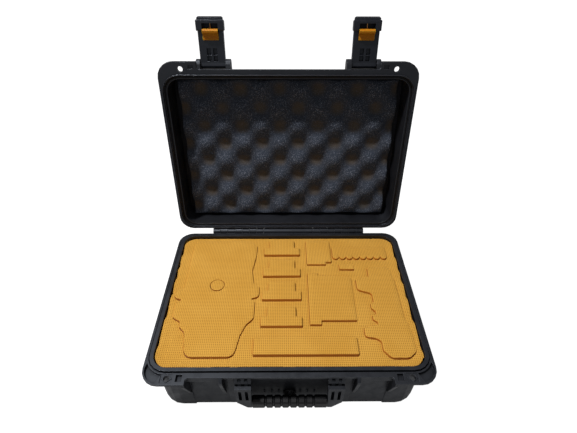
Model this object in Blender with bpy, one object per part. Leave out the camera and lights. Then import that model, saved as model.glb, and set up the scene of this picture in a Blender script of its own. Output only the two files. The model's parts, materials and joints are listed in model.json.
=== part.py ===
"""Rugged waterproof carrying case, open, with foam inserts for a folding drone.

Metres, +Z up, +X to the right, the front at -Y. The origin is the centre of
the base's underside. The lid stands open on its rear hinges and the two
latches are flipped up in line with the lid.
"""
import math

import bmesh
import bpy
from mathutils import Matrix, Vector

for item in list(bpy.data.objects):
    bpy.data.objects.remove(item, do_unlink=True)

MM = 0.001
SIDES = (-1, 1)
SIDE_NAMES = ("left", "right")

# Overall case
BASE_HEIGHT = 116.5 * MM
LID_HEIGHT = 54 * MM
FLANGE_HALF = 232.3 * MM
FLANGE_BACK = 167.5 * MM
FLANGE_FRONT = -164 * MM
CORNER_FRONT = -175.5 * MM
CORNER_SET_BACK = 3 * MM
LID_CORNER_FRONT = -177 * MM
CORNER_INNER = 162.5 * MM
CORNER_CHAMFER = 3 * MM
FLANGE_RADIUS = 28 * MM
FLANGE_THICK = 7 * MM
LIP_THICK = 4 * MM
LIP_INNER = -152 * MM
GAP = 0.3 * MM
CORNER_STEPS = 5

# Opening shared by the base and the lid
OPEN_HALF = 220 * MM
OPEN_FRONT = -147.5 * MM
OPEN_BACK = 156.5 * MM
OPEN_RADIUS = 24 * MM
FLOOR = 4 * MM
ROOF = 4 * MM
CAVITY_DRAFT = 1 * MM

# Outside of the walls, measured outwards from the opening
WALL_OUT = 5.5 * MM
WALL_DRAFT = 2.5 * MM
FRONT_EXTRA = 1 * MM
EDGE_RADIUS = 8 * MM
EDGE_STEPS = 3
WALL_FRONT = -149.5 * MM
LATCH_WALL = -151 * MM
RECESS_HALF = 90.5 * MM
BUTTRESS = (90.5 * MM, 101 * MM, -153.5 * MM)
BUTTRESS_FOOT = 14 * MM
CORNER_SWEEP = 11 * MM
SWEEP_TOP = 14 * MM

# Sealing profile, measured outwards from the opening
RIDGE_OUT = 6.2 * MM
RIDGE_TALL = 2.5 * MM
GROOVE_OUT = 8 * MM
GROOVE_DEEP = 3.5 * MM
SKIRT_IN = 6.6 * MM
SKIRT_OUT = 7.6 * MM
SKIRT_DROP = 2.8 * MM
SEAL_OFFSET = 3.2 * MM
SEAL_RADIUS = 1.5 * MM
SEAL_SIDES = 8
LID_LEDGE = 0.2 * MM
LID_DRAFT_START = 12 * MM
LID_CAVITY_DRAFT = 3 * MM
LID_LOW = BASE_HEIGHT + GAP
LID_TOP = BASE_HEIGHT + LID_HEIGHT

# Padlock corners and pockets of the flange
PADLOCK_X = 191 * MM
PADLOCK_Y = -164.5 * MM
PADLOCK_RADIUS = 5 * MM
PADLOCK_BOSS = 20 * MM
POCKET_DEEP = 5.5 * MM
POCKET_X = (167.5 * MM, 177 * MM)
POCKET_Y = (-170 * MM, -158.5 * MM)
LID_POCKET_Y = (-171.5 * MM, -165 * MM)
CRESCENT_RIM = 3 * MM
LID_POCKET_DEEP = 2.5 * MM
DIAMOND_DEEP = 1.2 * MM

# Rear hinges
HINGE_Y = 175 * MM
HINGE_OPEN = math.radians(98.68)
LID_PIVOT = (0, HINGE_Y, BASE_HEIGHT)
HINGE_START = 53.5 * MM
HINGE_END = 163.5 * MM
HINGE_KNUCKLES = 7
KNUCKLE_RADIUS = 6.8 * MM
HINGE_PIN = 2.4 * MM
WEB_ROOT = FLANGE_BACK - 2 * MM
WEB_TIP = HINGE_Y - 1 * MM
WEB_INSET = 0.5 * MM
HINGE_BLOCK_DROP = 9 * MM
BORE_PLAY = 0.2 * MM
ROD_SIDES = 16
HOLE_SIDES = 24
OVERLAP = 1 * MM
CUT_PAST = 5 * MM

# Latches, given in their closed position
LATCH_X = 133 * MM
LATCH_Y = -169 * MM
LATCH_RISE = 12.5 * MM
LATCH_OPEN = math.radians(90)
LATCH_PIN = 2 * MM
LATCH_PIN_SEAT = 7 * MM
LATCH_BARREL = 5 * MM
LATCH_HALF = 21.8 * MM
HEAD_HALF = 23.6 * MM
LATCH_POCKET_X = ((-9.2 * MM, -1.7 * MM), (1.7 * MM, 9.2 * MM))
LATCH_POCKET_Z = ((-16.2 * MM, -7 * MM), (-28.5 * MM, -17.6 * MM))
LATCH_POCKET_FLOOR = 0
WINDOW_HALF = 13.6 * MM
WINDOW_BACK = -2.8 * MM
WINDOW_NEAR = 41.2 * MM
WINDOW_FAR = 68.2 * MM
WINDOW_OPEN = 20 * MM
EAR_RADIUS = 10.5 * MM
EAR_NEAR = 110.5 * MM
EAR_FAR = 155.5 * MM
EAR_WIDE = 8.5 * MM
RIB_WIDE = 5 * MM
GUIDE_RADIUS = 0.8 * MM
GUIDE_SIDES = 12
GUIDE_OUT = 1.8 * MM
GUIDE_END = 52 * MM

# Handle, hanging
HANDLE_Y = -160.5 * MM
HANDLE_Z = BASE_HEIGHT - 15.5 * MM
HANDLE_IN = 61 * MM
HANDLE_OUT = 87.5 * MM
HANDLE_KNUCKLES = 5
HANDLE_KNUCKLE = 5.5 * MM
KNUCKLE_FOOT = 12 * MM
BRACKET_DROP = 14 * MM
HANDLE_PIN = 2 * MM
GRIP_HALF = 62 * MM
GRIP_Y = -6.3 * MM
GRIP_Z = -56 * MM
GRIP_DEEP = 16 * MM
GRIP_TALL = 23 * MM
GRIP_ROUND = 5.5 * MM
GRIP_CHAMFER = 1.5 * MM
BAR_DEEP = 6 * MM
BAR_TALL = 13 * MM
ARM_DEEP = (-11.5 * MM, -0.5 * MM)
ARM_SLOT_DEEP = -4.5 * MM
ARM_SLOT = (-42 * MM, -14 * MM)
LOBES = 6
LOBE_PITCH = 13.2 * MM
LOBE_NOTCH = 2.2 * MM
NOTCH_OUTER = 2.4 * MM
NOTCH_INNER = 0.7 * MM

# Foams
FOAM_HALF = 218.2 * MM
FOAM_FRONT = -143.5 * MM
FOAM_BACK = 155 * MM
FOAM_RADIUS = 21 * MM
FOAM_TOP = BASE_HEIGHT - 5 * MM
FOAM_SPLIT = 34 * MM
PLUG_PROUD = 3 * MM
PLUG_TALL = 4.5 * MM
FOAM_SWEEP = 15 * MM
FOAM_DRAFT = 1 * MM
FOAM_STEP = (BASE_HEIGHT - 14.5 * MM, BASE_HEIGHT - 6.5 * MM)
DISC_DEEP = 25 * MM
LID_FOAM_HALF = 206 * MM
LID_FOAM_FRONT = -139 * MM
LID_FOAM_BACK = 148 * MM
LID_FOAM_ROOF = LID_TOP - ROOF - 0.4 * MM
LID_FOAM_MEAN = 32 * MM
EGG_PITCH = 36.5 * MM
EGG_WAVE = 7 * MM
EGG_COLUMNS = 24
EGG_ROWS = 17

# Pressure valve in the front wall
VALVE_Z = BASE_HEIGHT - 75 * MM
VALVE_STEM = 5 * MM
VALVE_BODY = 11 * MM
VALVE_BODY_Y = (WALL_FRONT - 4 * MM, WALL_FRONT - 1.6 * MM)
VALVE_SEAL = 10 * MM
VALVE_SEAL_Y = (WALL_FRONT - 1.3 * MM, WALL_FRONT - GAP)
VALVE_NUT = 9 * MM
VALVE_NUT_Y = (OPEN_FRONT + 1.3 * MM, OPEN_FRONT + 3.3 * MM)
VALVE_KNOB = 9 * MM
VALVE_KNURL = 1 * MM
VALVE_KNOB_Y = (-8.3 * MM, -4.3 * MM)

# Side gussets, rest bumps and the raised panel of the lid
GUSSET_Y = (-62 * MM, 66 * MM)
GUSSET_WIDE = 8 * MM
BUMP_X = (18 * MM, 30 * MM, 42 * MM)
BUMP_HALF = 1.5 * MM
PANEL = (-175 * MM, 175 * MM, -110 * MM, 118 * MM, 16 * MM)
PANEL_TALL = 1.5 * MM

# Profiles in millimetres: (y, z) from the parting plane for the front of the
# base and the lid
OUTER_RIB = ((-148.5, 0), (-164, 0), (-175.5, 0), (-175.5, -9), (-161.5, -48), (-155, -66),
             (-148.5, -66))
INNER_RIB = ((-148.5, 0), (-164, 0), (-170, -7), (-170, -12), (-161.5, -44), (-151, -76),
             (-148.5, -76))
CATCH = ((-148.5, 0), (-164, 0), (-164, -11.5), (-161, -11.5), (-161, -8), (-148.5, -6))
EAR_FOOT = ((-160, 0.5), (-150, 0.5), (-150, 26))
SHELF = ((-163, 1), (-150, 1), (-150, 25), (-163, 21))
BUMP = ((-148.5, -75), (-152, -73), (-152, -69), (-148.5, -67))

# (y, z) of the wedge under the recess's lower edge
FOOT_RELIEF = ((-160, -5), (-144, -5), (-151, 9), (-160, 9))

# (x, z) from the parting plane, right side of the base
GUSSET = ((221.5, -2), (230.5, -2), (230.5, -14), (224, -75), (221.5, -75))

# (y, z) from the latch pivot: lever, head and hook
LEVER = ((-5, -66), (-3, -75.2), (-1, -78.2), (3.5, -76.2), (3.5, -5))
HEAD = ((-5, -56.5), (6, -56.5), (7, -58.5), (7, -72), (3.5, -73.5), (-5, -70))
HOOK = ((-2.5, -41.5), (4.5, -41.5), (5.2, -42.3), (5.2, -48.5), (5.8, -50.5), (10.6, -53.5),
        (11.2, -57), (8.5, -59.5), (-2.5, -59.5))

# (x, z) from the latch pivot: what is cut off each corner of the tip
TIP_CORNER = ((16, -83), (30, -83), (30, -71), (23.6, -72.5), (22, -76.3), (19.8, -78))

# (x, z) from the handle pivot: right arm
ARM = ((87.5, -7), (86, -50), (69.5, -67), (62.5, -67), (62.5, -46), (62, -38), (61, -7))


# ---------------------------------------------------------------- materials

def make_material(name, colour, roughness, metallic=0.0):
    """One Principled material."""
    material = bpy.data.materials.new(name)
    material.use_nodes = True
    shader = material.node_tree.nodes["Principled BSDF"]
    shader.inputs["Base Color"].default_value = (*colour, 1.0)
    shader.inputs["Roughness"].default_value = roughness
    shader.inputs["Metallic"].default_value = metallic
    material.diffuse_color = (*colour, 1.0)
    return material


CASE_BLACK = ((0.022, 0.023, 0.027), 0.55, 0.0)
LATCH_BLACK = ((0.018, 0.019, 0.023), 0.45, 0.0)
RUBBER_BLACK = ((0.012, 0.012, 0.013), 0.8, 0.0)
STEEL_GREY = ((0.55, 0.56, 0.60), 0.3, 1.0)
FOAM_ORANGE = ((0.67, 0.35, 0.058), 0.9, 0.0)
HOOK_ORANGE = ((0.72, 0.25, 0.012), 0.45, 0.0)
FOAM_DARK = ((0.030, 0.033, 0.042), 0.95, 0.0)
BRONZE = ((0.48, 0.26, 0.10), 0.35, 1.0)


# ----------------------------------------------------------- shape builders

def arc(centre, radius, start, end, steps):
    """Points along an arc, angles in degrees."""
    points = []
    for index in range(steps + 1):
        angle = math.radians(start + (end - start) * index / steps)
        points.append((centre[0] + radius * math.cos(angle), centre[1] + radius * math.sin(angle)))
    return points


def circle(centre, radius, sides=HOLE_SIDES):
    """Points around a full circle."""
    return arc(centre, radius, 0, 360 * (1 - 1 / sides), sides - 1)


def scaled(points, z=0.0):
    """An outline in metres from corners in millimetres, raised by a height."""
    return [(a * MM, b * MM + z) for a, b in points]


def rounded_rect(x0, x1, y0, y1, radius, steps=CORNER_STEPS):
    """Anticlockwise rounded rectangle from its front right corner."""
    points = arc((x1 - radius, y0 + radius), radius, -90, 0, steps)
    points += arc((x1 - radius, y1 - radius), radius, 0, 90, steps)
    points += arc((x0 + radius, y1 - radius), radius, 90, 180, steps)
    points += arc((x0 + radius, y0 + radius), radius, 180, 270, steps)
    return points


def opening(out, front_extra=0.0, sweep=0.0):
    """The case's opening, grown outwards by a distance, with its corners swept rounder."""
    return rounded_rect(-OPEN_HALF - out, OPEN_HALF + out, OPEN_FRONT - out - front_extra,
                        OPEN_BACK + out, OPEN_RADIUS + out + sweep)


def mirrored(points):
    """A right half outline completed with its mirror image."""
    return points + [(-x, y) for x, y in reversed(points)]


def flange_outline(centre_front, corner_front=CORNER_FRONT):
    """The flange seen from above, with the two padlock corners further forward."""
    right = [(CORNER_INNER - CORNER_CHAMFER, centre_front)]
    right += [(CORNER_INNER, centre_front - CORNER_CHAMFER), (CORNER_INNER, corner_front)]
    right += arc((FLANGE_HALF - FLANGE_RADIUS, corner_front + FLANGE_RADIUS), FLANGE_RADIUS,
                 -90, 0, CORNER_STEPS)
    right += arc((FLANGE_HALF - FLANGE_RADIUS, FLANGE_BACK - FLANGE_RADIUS), FLANGE_RADIUS,
                 0, 90, CORNER_STEPS)
    return mirrored(right)


def filleted(corners, steps=3):
    """An outline in metres from (x, y, radius) corners in millimetres."""
    points = []
    count = len(corners)
    for index, (x, y, radius) in enumerate(corners):
        here = Vector((x, y))
        before = (Vector(corners[index - 1][:2]) - here).normalized()
        after = (Vector(corners[(index + 1) % count][:2]) - here).normalized()
        half = math.acos(max(-1.0, min(1.0, before.dot(after)))) / 2
        reach = radius / math.tan(half)
        middle = here + (before + after).normalized() * (radius / math.sin(half))
        first = here + before * reach - middle
        last = here + after * reach - middle
        turn = first.angle_signed(last)
        for step in range(steps + 1):
            spoke = first.copy()
            spoke.rotate(Matrix.Rotation(-turn * step / steps, 2))
            points.append(((middle.x + spoke.x) * MM, (middle.y + spoke.y) * MM))
    return points


def signed_area(points):
    """Positive for an anticlockwise outline."""
    total = 0.0
    for index, (x, y) in enumerate(points):
        x_next, y_next = points[(index + 1) % len(points)]
        total += x * y_next - x_next * y
    return total / 2


def grown(points, distance):
    """An outline moved outwards by a small distance."""
    side = 1 if signed_area(points) > 0 else -1
    result = []
    for index, here in enumerate(points):
        before = (Vector(here) - Vector(points[index - 1])).normalized()
        after = (Vector(points[(index + 1) % len(points)]) - Vector(here)).normalized()
        normal = Vector((before.y + after.y, -before.x - after.x)).normalized() * side
        scale = distance / max(0.5, abs(normal.dot(Vector((before.y, -before.x)))))
        result.append((here[0] + normal.x * scale, here[1] + normal.y * scale))
    return result


def add_extrusion(bm, points, travel):
    """A flat outline of 3-D points, extruded along a vector."""
    face = bm.faces.new([bm.verts.new(point) for point in points])
    made = bmesh.ops.extrude_face_region(bm, geom=[face])["geom"]
    moved = [item for item in made if isinstance(item, bmesh.types.BMVert)]
    bmesh.ops.translate(bm, vec=Vector(travel), verts=moved)


def add_prism(bm, outline, z0, z1):
    """An outline seen from above, between two heights."""
    add_extrusion(bm, [(x, y, z0) for x, y in outline], (0, 0, z1 - z0))


def add_profile(bm, profile, x0, x1):
    """A (y, z) profile, between two stations along X."""
    add_extrusion(bm, [(x0, y, z) for y, z in profile], (x1 - x0, 0, 0))


def add_box(bm, x0, x1, y0, y1, z0, z1):
    """A box from its limits."""
    add_prism(bm, [(x0, y0), (x1, y0), (x1, y1), (x0, y1)], z0, z1)


def add_rod(bm, x0, x1, y, z, radius):
    """A round rod along X."""
    add_profile(bm, circle((y, z), radius, ROD_SIDES), x0, x1)


def add_loft(bm, rings, closed=False):
    """Skin rings of equal length; the ends are capped unless the loft is closed."""
    loops = [[bm.verts.new(point) for point in ring] for ring in rings]
    count = len(loops[0])
    pairs = list(zip(loops, loops[1:]))
    if closed:
        pairs.append((loops[-1], loops[0]))
    for lower, upper in pairs:
        for index in range(count):
            following = (index + 1) % count
            bm.faces.new((lower[index], lower[following], upper[following], upper[index]))
    if not closed:
        bm.faces.new(loops[0])
        bm.faces.new(loops[-1])


def add_ring(bm, outer, inner, z0, z1):
    """A closed band between two outlines of equal length."""
    corners = ((outer, z0), (outer, z1), (inner, z1), (inner, z0))
    add_loft(bm, [[(x, y, z) for x, y in outline] for outline, z in corners], closed=True)


# ----------------------------------------------------------- object builders

def make_empty(name, location, parent=None):
    """A joint frame, standing square while its pieces are shaped."""
    empty = bpy.data.objects.new(name, None)
    bpy.context.collection.objects.link(empty)
    empty.location = location
    empty.parent = parent
    return empty


def make_object(name, bm, material=None, frame=None, pivot=(0, 0, 0), at=(0, 0, 0)):
    """An object from a bmesh drawn about the pivot, placed at a point of its frame."""
    bmesh.ops.recalc_face_normals(bm, faces=bm.faces)
    mesh = bpy.data.meshes.new(name)
    bm.to_mesh(mesh)
    bm.free()
    mesh.transform(Matrix.Translation(-Vector(pivot) - Vector(at)))
    thing = bpy.data.objects.new(name, mesh)
    bpy.context.collection.objects.link(thing)
    thing.parent = frame
    thing.location = at
    if material is not None:
        mesh.materials.append(make_material(name, *material))
    return thing


def shape_with(target, bm, operation, label, pivot=(0, 0, 0)):
    """Join a tool shape to the target, or cut it away."""
    tool = make_object(target.name + "_" + label, bm, frame=target.parent, pivot=pivot)
    tool.hide_render = True
    tool.display_type = "WIRE"
    modifier = target.modifiers.new(label, "BOOLEAN")
    modifier.operation = operation
    modifier.solver = "EXACT"
    modifier.use_self = operation == "UNION"
    modifier.object = tool


def apply_modifiers():
    """Turn every modifier into plain geometry while all frames stand square."""
    bpy.context.view_layer.update()
    depsgraph = bpy.context.evaluated_depsgraph_get()
    finished = {}
    for thing in bpy.data.objects:
        if thing.type == "MESH" and thing.modifiers:
            finished[thing] = bpy.data.meshes.new_from_object(thing.evaluated_get(depsgraph))
    for thing, mesh in finished.items():
        thing.modifiers.clear()
        thing.data = mesh
    for thing in list(bpy.data.objects):
        if thing.hide_render:
            bpy.data.objects.remove(thing, do_unlink=True)


def smooth(thing):
    """Round shading with crisp edges kept."""
    thing.data.shade_smooth()
    thing.data.set_sharp_from_angle(angle=math.radians(35))


# -------------------------------------------------------------- hinge pieces

def knuckle_spans(start):
    """The X spans of every second hinge knuckle on the right side."""
    pitch = (HINGE_END - HINGE_START) / HINGE_KNUCKLES
    spans = []
    for index in range(start, HINGE_KNUCKLES, 2):
        spans.append((HINGE_START + index * pitch + GAP, HINGE_START + (index + 1) * pitch - GAP))
    return spans


def add_knuckles(bm, start, z_near, z_far):
    """Hinge barrels with the webs that tie them to their flange."""
    web = [(WEB_ROOT, z_near), (WEB_TIP, z_near), (WEB_TIP, z_far), (WEB_ROOT, z_far)]
    for x0, x1 in knuckle_spans(start):
        for sign in SIDES:
            add_rod(bm, sign * x0, sign * x1, HINGE_Y, BASE_HEIGHT, KNUCKLE_RADIUS)
            add_profile(bm, web, sign * (x0 + WEB_INSET), sign * (x1 - WEB_INSET))


def add_hinge_bores(bm):
    """The bores of the two hinge pins."""
    for sign in SIDES:
        add_rod(bm, sign * (HINGE_START - CUT_PAST), sign * (HINGE_END + CUT_PAST), HINGE_Y,
                BASE_HEIGHT, HINGE_PIN + BORE_PLAY)


# ---------------------------------------------------------------- base shell

def wall_ring(z, inset, sweep=0.0):
    """One level of a shell's outside, pulled in by an inset."""
    return [(x, y, z) for x, y in opening(WALL_OUT - inset, FRONT_EXTRA, sweep)]


def base_body():
    """Drafted outside of the base with a rounded bottom edge."""
    bm = bmesh.new()
    rings = []
    for step in range(EDGE_STEPS + 1):
        angle = math.radians(90) * (1 - step / EDGE_STEPS)
        inset = WALL_DRAFT + EDGE_RADIUS * (1 - math.cos(angle))
        rings.append(wall_ring(EDGE_RADIUS * (1 - math.sin(angle)), inset, CORNER_SWEEP))
    rings.append(wall_ring(BASE_HEIGHT - SWEEP_TOP, 0, CORNER_SWEEP))
    rings.append(wall_ring(BASE_HEIGHT - LIP_THICK / 2, 0))
    add_loft(bm, rings)
    return bm


def front_recess():
    """What the front wall gives up between the latch corners, most in its centre."""
    bm = bmesh.new()
    right = [(CORNER_INNER, CORNER_FRONT - CUT_PAST), (CORNER_INNER, LATCH_WALL)]
    right += [(RECESS_HALF, LATCH_WALL), (RECESS_HALF, WALL_FRONT)]
    add_prism(bm, mirrored(right), -CUT_PAST, BASE_HEIGHT + CUT_PAST)
    return bm


def foot_relief():
    """What the recess gives up along its lower edge, which sits behind the corners' edge."""
    bm = bmesh.new()
    add_profile(bm, scaled(FOOT_RELIEF), -CORNER_INNER, CORNER_INNER)
    return bm


def base_cavity():
    """The hollow of the base, slightly drafted."""
    bm = bmesh.new()
    levels = ((FLOOR, -CAVITY_DRAFT, CORNER_SWEEP), (BASE_HEIGHT - SWEEP_TOP, 0, CORNER_SWEEP),
              (BASE_HEIGHT - FLANGE_THICK, 0, 0), (BASE_HEIGHT + CUT_PAST, 0, 0))
    add_loft(bm, [[(x, y, z) for x, y in opening(out, 0, sweep)] for z, out, sweep in levels])
    return bm


def front_ribs():
    """Two gussets beside each latch, and the catch that the latch hook pulls on."""
    bm = bmesh.new()
    for sign in SIDES:
        add_profile(bm, scaled(OUTER_RIB, z=BASE_HEIGHT), sign * CORNER_INNER,
                    sign * (CORNER_INNER + RIB_WIDE))
        add_profile(bm, scaled(INNER_RIB, z=BASE_HEIGHT), sign * (EAR_NEAR - RIB_WIDE),
                    sign * EAR_NEAR)
        add_profile(bm, scaled(CATCH, z=BASE_HEIGHT), sign * (EAR_NEAR - OVERLAP),
                    sign * (CORNER_INNER + OVERLAP))
        x0, x1, front = BUTTRESS
        add_box(bm, sign * x0, sign * x1, front, OPEN_FRONT - OVERLAP, BUTTRESS_FOOT,
                BASE_HEIGHT - OVERLAP)
    return bm


def handle_fingers():
    """X spans of the bracket knuckles and of the handle's knuckles, right side."""
    width = (HANDLE_OUT - HANDLE_IN) / HANDLE_KNUCKLES
    spans = []
    for index in range(HANDLE_KNUCKLES):
        start = HANDLE_IN + index * width
        spans.append((start + GAP / 2, start + width - GAP / 2))
    return spans[0::2], spans[1::2]


def add_handle_brackets(bm):
    """Three knuckles on each side of the base that carry the handle."""
    under_lip = BASE_HEIGHT - LIP_THICK + OVERLAP
    profile = arc((HANDLE_Y, HANDLE_Z), HANDLE_KNUCKLE, 180, 290, 6)
    profile += [(WALL_FRONT + OVERLAP, HANDLE_Z - BRACKET_DROP), (WALL_FRONT + OVERLAP, under_lip)]
    profile += [(HANDLE_Y - 2 * MM, under_lip)]
    for x0, x1 in handle_fingers()[0]:
        for sign in SIDES:
            add_profile(bm, profile, sign * x0, sign * x1)


def wall_bumps():
    """Rest bumps behind the handle and stiffening gussets on the sides."""
    bm = bmesh.new()
    for sign in SIDES:
        for x in BUMP_X:
            add_profile(bm, scaled(BUMP, z=BASE_HEIGHT), sign * x - BUMP_HALF, sign * x + BUMP_HALF)
        outline = [(sign * x, z) for x, z in scaled(GUSSET, z=BASE_HEIGHT)]
        for y in GUSSET_Y:
            add_extrusion(bm, [(x, y, z) for x, z in outline], (0, GUSSET_WIDE, 0))
    return bm


def corner_pockets():
    """Crescent and square pockets in the padlock corners, and the padlock holes."""
    bm = bmesh.new()
    past = BASE_HEIGHT + CUT_PAST
    corner = (FLANGE_HALF - FLANGE_RADIUS, CORNER_FRONT + FLANGE_RADIUS)
    crescent = arc(corner, FLANGE_RADIUS - CRESCENT_RIM, 0, -82, 6)
    crescent += arc((196 * MM, -123.5 * MM), 34.5 * MM, -82, -25, 6)
    for sign in SIDES:
        add_prism(bm, [(sign * x, y) for x, y in crescent], BASE_HEIGHT - POCKET_DEEP, past)
        add_box(bm, sign * POCKET_X[0], sign * POCKET_X[1], *POCKET_Y, BASE_HEIGHT - POCKET_DEEP,
                past)
        add_prism(bm, circle((sign * PADLOCK_X, PADLOCK_Y), PADLOCK_RADIUS),
                  BASE_HEIGHT - PADLOCK_BOSS, past)
    return bm


def padlock_frames():
    """Shallow square rings that leave a diamond around each padlock hole."""
    bm = bmesh.new()
    square = ((-10, -7.5), (9, -7.5), (9, 7.5), (-10, 7.5))
    diamond = ((-9, 0), (0, -7), (8.5, 0), (0, 7))
    for sign in SIDES:
        rings = []
        for corners in (square, diamond):
            rings.append([(x + sign * PADLOCK_X, y) for x, y in scaled(corners, z=PADLOCK_Y)])
        add_ring(bm, rings[0], rings[1], BASE_HEIGHT - DIAMOND_DEEP, BASE_HEIGHT + OVERLAP)
    return bm


def base_bores():
    """Bores of the hinge pins, the handle pins and the valve."""
    bm = bmesh.new()
    add_hinge_bores(bm)
    for sign in SIDES:
        add_rod(bm, sign * (HANDLE_IN - OVERLAP), sign * (HANDLE_OUT + OVERLAP), HANDLE_Y,
                HANDLE_Z, HANDLE_PIN + BORE_PLAY)
    add_disc(bm, VALVE_STEM + BORE_PLAY, WALL_FRONT - CUT_PAST, OPEN_FRONT + CUT_PAST)
    return bm


def build_base():
    """The base shell as one moulding."""
    base = make_object("base_shell", base_body(), CASE_BLACK)
    shape_with(base, front_recess(), "DIFFERENCE", "front_recess")
    shape_with(base, foot_relief(), "DIFFERENCE", "foot_relief")
    bm = bmesh.new()
    add_prism(bm, flange_outline(FLANGE_FRONT), BASE_HEIGHT - LIP_THICK, BASE_HEIGHT)
    shape_with(base, bm, "UNION", "lip")
    bm = bmesh.new()
    add_prism(bm, flange_outline(LIP_INNER, CORNER_FRONT + CORNER_SET_BACK),
              BASE_HEIGHT - FLANGE_THICK, BASE_HEIGHT - OVERLAP)
    shape_with(base, bm, "UNION", "flange")
    bm = bmesh.new()
    add_prism(bm, opening(RIDGE_OUT), BASE_HEIGHT - 2 * OVERLAP, BASE_HEIGHT + RIDGE_TALL)
    shape_with(base, bm, "UNION", "ridge")
    shape_with(base, front_ribs(), "UNION", "ribs")
    bm = bmesh.new()
    add_handle_brackets(bm)
    add_knuckles(bm, 0, BASE_HEIGHT - KNUCKLE_RADIUS, BASE_HEIGHT - GAP)
    half = HINGE_START - GAP
    add_box(bm, -half + WEB_INSET, half - WEB_INSET, WEB_ROOT, WEB_TIP,
            BASE_HEIGHT - HINGE_BLOCK_DROP, BASE_HEIGHT - GAP)
    add_rod(bm, -half, half, HINGE_Y, BASE_HEIGHT, KNUCKLE_RADIUS)
    shape_with(base, bm, "UNION", "knuckles")
    shape_with(base, wall_bumps(), "UNION", "bumps")
    shape_with(base, base_cavity(), "DIFFERENCE", "cavity")
    bm = bmesh.new()
    add_ring(bm, opening(GROOVE_OUT), opening(RIDGE_OUT), BASE_HEIGHT - GROOVE_DEEP,
             BASE_HEIGHT + CUT_PAST)
    shape_with(base, bm, "DIFFERENCE", "groove")
    shape_with(base, corner_pockets(), "DIFFERENCE", "pockets")
    shape_with(base, padlock_frames(), "DIFFERENCE", "diamonds")
    shape_with(base, base_bores(), "DIFFERENCE", "bores")


# ----------------------------------------------------------------- lid shell

def lid_body():
    """Drafted outside of the lid with a rounded top edge, drawn closed."""
    bm = bmesh.new()
    rings = [wall_ring(LID_LOW, 0)]
    for step in range(EDGE_STEPS + 1):
        angle = math.radians(90) * step / EDGE_STEPS
        inset = WALL_DRAFT + EDGE_RADIUS * (1 - math.cos(angle))
        rings.append(wall_ring(LID_TOP - EDGE_RADIUS * (1 - math.sin(angle)), inset))
    add_loft(bm, rings)
    return bm


def latch_ears():
    """Two ears on each side that carry a latch, drawn closed."""
    bm = bmesh.new()
    ear = arc((LATCH_Y, BASE_HEIGHT + LATCH_RISE), EAR_RADIUS, 110, 250, 7)
    ear += scaled(EAR_FOOT, z=BASE_HEIGHT)
    for sign in SIDES:
        add_profile(bm, ear, sign * EAR_FAR, sign * (CORNER_INNER + GAP))
        add_profile(bm, ear, sign * (EAR_NEAR - EAR_WIDE), sign * EAR_NEAR)
        add_profile(bm, scaled(SHELF, z=BASE_HEIGHT), sign * (EAR_NEAR - OVERLAP),
                    sign * (EAR_FAR + OVERLAP))
    return bm


def lid_seat():
    """The stepped seat around the lid's opening, with the channel of the seal."""
    bm = bmesh.new()
    low = BASE_HEIGHT - CUT_PAST
    seat = BASE_HEIGHT + RIDGE_TALL + GAP
    deep = seat + 2 * SEAL_RADIUS + GAP
    reach = SEAL_RADIUS + GAP
    inner = -LID_LEDGE - CUT_PAST
    steps = ((SKIRT_IN, low), (SKIRT_IN, seat), (SEAL_OFFSET + reach, seat),
             (SEAL_OFFSET + reach, deep), (SEAL_OFFSET - reach, deep), (SEAL_OFFSET - reach, seat),
             (inner, seat), (inner, low))
    add_loft(bm, [[(x, y, z) for x, y in opening(out)] for out, z in steps], closed=True)
    return bm


def lid_cavity():
    """The hollow of the lid."""
    bm = bmesh.new()
    levels = ((BASE_HEIGHT - CUT_PAST, -LID_LEDGE), (BASE_HEIGHT + LID_DRAFT_START, -LID_LEDGE),
              (LID_TOP - ROOF, -LID_LEDGE - LID_CAVITY_DRAFT))
    add_loft(bm, [[(x, y, z) for x, y in opening(out)] for z, out in levels])
    return bm


def lid_holes():
    """Padlock holes, small pockets and the bores of the latch and hinge pins."""
    bm = bmesh.new()
    low = BASE_HEIGHT - CUT_PAST
    for sign in SIDES:
        add_prism(bm, circle((sign * PADLOCK_X, PADLOCK_Y), PADLOCK_RADIUS), low,
                  BASE_HEIGHT + PADLOCK_BOSS)
        add_box(bm, sign * POCKET_X[0], sign * POCKET_X[1], *LID_POCKET_Y, low,
                BASE_HEIGHT + LID_POCKET_DEEP)
        add_rod(bm, sign * (EAR_NEAR - LATCH_PIN_SEAT), sign * (CORNER_INNER + CUT_PAST), LATCH_Y,
                BASE_HEIGHT + LATCH_RISE, LATCH_PIN + BORE_PLAY)
    add_hinge_bores(bm)
    return bm


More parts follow.
